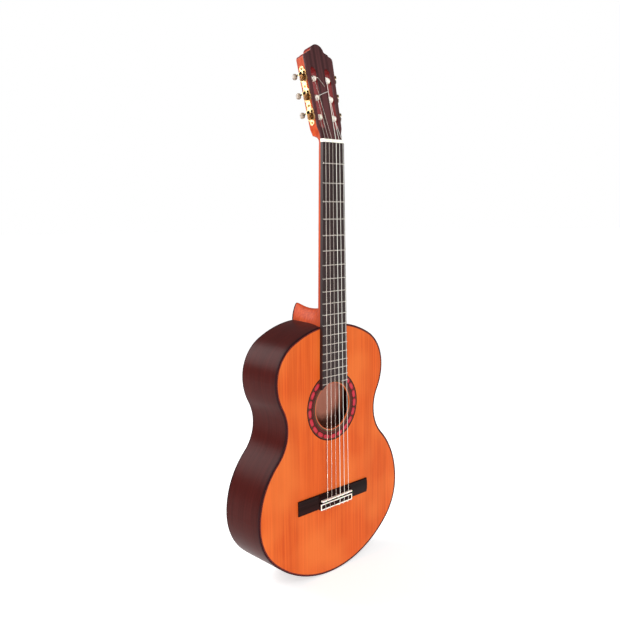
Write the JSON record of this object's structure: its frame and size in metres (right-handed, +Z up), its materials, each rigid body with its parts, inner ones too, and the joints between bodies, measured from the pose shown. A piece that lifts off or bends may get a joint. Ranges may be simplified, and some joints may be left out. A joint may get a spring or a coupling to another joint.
{
  "type": "classical guitar",
  "caption": "Classical guitar with a cedar front, dark rosewood sides, slotted head, geared string rollers, mosaic rosette and tie bridge.",
  "frame": {"origin": "on the centre line at the neck's glue face, at the nut's front edge, where a wall hanger's yoke carries the guitar", "axes": "+X towards the treble side, +Y from the soundboard towards the back, +Z up along the neck towards the head"},
  "size_m": [0.361, 0.1142, 0.9776],
  "materials": {
    "cedar": "satin lacquer over straight-grained cedar",
    "rosette_mosaic": "gloss lacquer over wood mosaic",
    "binding_rosewood": "satin",
    "rosewood": "satin lacquer",
    "mahogany": "satin lacquer",
    "spruce": "bare planed spruce",
    "lining_cedar": "bare sawn cedar",
    "head_veneer": "satin lacquer over dark veneer",
    "ebony": "oiled",
    "bridge_rosewood": "oiled",
    "nickel_silver": "polished nickel silver",
    "bone": "polished bone",
    "gilt_brass": "lacquered gilt brass",
    "gear_brass": "cut brass",
    "worm_steel": "turned steel",
    "roller_ivory": "moulded, glossy",
    "pearl_button": "pearl celluloid",
    "wound_string": "silver-plated wire winding",
    "clear_nylon": "clear drawn nylon"
  },
  "bodies": {
    "root": {"soundboard": "cedar", "rosette": "rosette_mosaic", "top_binding": "binding_rosewood", "back": "rosewood", "back_centre_strip": "spruce", "side_bass": "rosewood", "side_treble": "rosewood", "back_binding": "binding_rosewood", "tail_block": "mahogany", "end_graft": "binding_rosewood", "top_linings": "lining_cedar", "back_linings": "lining_cedar", "neck": "mahogany", "heel_cap": "binding_rosewood", "head_overlay": "head_veneer", "fingerboard": "ebony", "frets": "nickel_silver", "nut": "bone", "bridge": "bridge_rosewood", "saddle": "bone", "tie_block_inlay": "bone", "fan_braces": "spruce", "harmonic_bars": "spruce", "bridge_patch": "spruce", "back_braces": "spruce", "machine_plate_bass": "gilt_brass", "machine_plate_treble": "gilt_brass", "plate_screws": "gilt_brass", "bass_strings": "wound_string", "treble_strings": "clear_nylon"},
    "roller_1": {"roller_1": "roller_ivory", "gear_1": "gear_brass", "winding_1": "clear_nylon"},
    "key_1": {"worm_1": "worm_steel", "button_1": "pearl_button"},
    "roller_2": {"roller_2": "roller_ivory", "gear_2": "gear_brass", "winding_2": "clear_nylon"},
    "key_2": {"worm_2": "worm_steel", "button_2": "pearl_button"},
    "roller_3": {"roller_3": "roller_ivory", "gear_3": "gear_brass", "winding_3": "clear_nylon"},
    "key_3": {"worm_3": "worm_steel", "button_3": "pearl_button"},
    "roller_4": {"roller_4": "roller_ivory", "gear_4": "gear_brass", "winding_4": "wound_string"},
    "key_4": {"worm_4": "worm_steel", "button_4": "pearl_button"},
    "roller_5": {"roller_5": "roller_ivory", "gear_5": "gear_brass", "winding_5": "wound_string"},
    "key_5": {"worm_5": "worm_steel", "button_5": "pearl_button"},
    "roller_6": {"roller_6": "roller_ivory", "gear_6": "gear_brass", "winding_6": "wound_string"},
    "key_6": {"worm_6": "worm_steel", "button_6": "pearl_button"}
  },
  "joints": [
    {"name": "key_1_turn", "type": "hinge", "parent": "root", "child": "key_1", "pos_m": [0.03589, 0.01759, 0.05133], "axis": [0, -0.9744, 0.225], "continuous": true},
    {"name": "roller_1_turn", "type": "hinge", "parent": "root", "child": "roller_1", "pos_m": [0.03555, 0.01588, 0.04393], "axis": [0.999, -0.0101, -0.0438], "continuous": true},
    {"name": "key_2_turn", "type": "hinge", "parent": "root", "child": "key_2", "pos_m": [0.03746, 0.02545, 0.0854], "axis": [0, -0.9744, 0.225], "continuous": true},
    {"name": "roller_2_turn", "type": "hinge", "parent": "root", "child": "roller_2", "pos_m": [0.03712, 0.02374, 0.078], "axis": [0.999, -0.0101, -0.0438], "continuous": true},
    {"name": "key_3_turn", "type": "hinge", "parent": "root", "child": "key_3", "pos_m": [0.03904, 0.03332, 0.11947], "axis": [0, -0.9744, 0.225], "continuous": true},
    {"name": "roller_3_turn", "type": "hinge", "parent": "root", "child": "roller_3", "pos_m": [0.03869, 0.03161, 0.11207], "axis": [0.999, -0.0101, -0.0438], "continuous": true},
    {"name": "key_4_turn", "type": "hinge", "parent": "root", "child": "key_4", "pos_m": [-0.03904, 0.03332, 0.11947], "axis": [0, -0.9744, 0.225], "continuous": true},
    {"name": "roller_4_turn", "type": "hinge", "parent": "root", "child": "roller_4", "pos_m": [-0.03869, 0.03161, 0.11207], "axis": [-0.999, -0.0101, -0.0438], "continuous": true},
    {"name": "key_5_turn", "type": "hinge", "parent": "root", "child": "key_5", "pos_m": [-0.03746, 0.02545, 0.0854], "axis": [0, -0.9744, 0.225], "continuous": true},
    {"name": "roller_5_turn", "type": "hinge", "parent": "root", "child": "roller_5", "pos_m": [-0.03712, 0.02374, 0.078], "axis": [-0.999, -0.0101, -0.0438], "continuous": true},
    {"name": "key_6_turn", "type": "hinge", "parent": "root", "child": "key_6", "pos_m": [-0.03589, 0.01759, 0.05133], "axis": [0, -0.9744, 0.225], "continuous": true},
    {"name": "roller_6_turn", "type": "hinge", "parent": "root", "child": "roller_6", "pos_m": [-0.03555, 0.01588, 0.04393], "axis": [-0.999, -0.0101, -0.0438], "continuous": true}
  ],
  "couplings": [
    {"joint": "roller_1_turn", "follows": "key_1_turn", "ratio": -0.071429},
    {"joint": "roller_2_turn", "follows": "key_2_turn", "ratio": -0.071429},
    {"joint": "roller_3_turn", "follows": "key_3_turn", "ratio": -0.071429},
    {"joint": "roller_4_turn", "follows": "key_4_turn", "ratio": -0.071429},
    {"joint": "roller_5_turn", "follows": "key_5_turn", "ratio": -0.071429},
    {"joint": "roller_6_turn", "follows": "key_6_turn", "ratio": -0.071429}
  ]
}
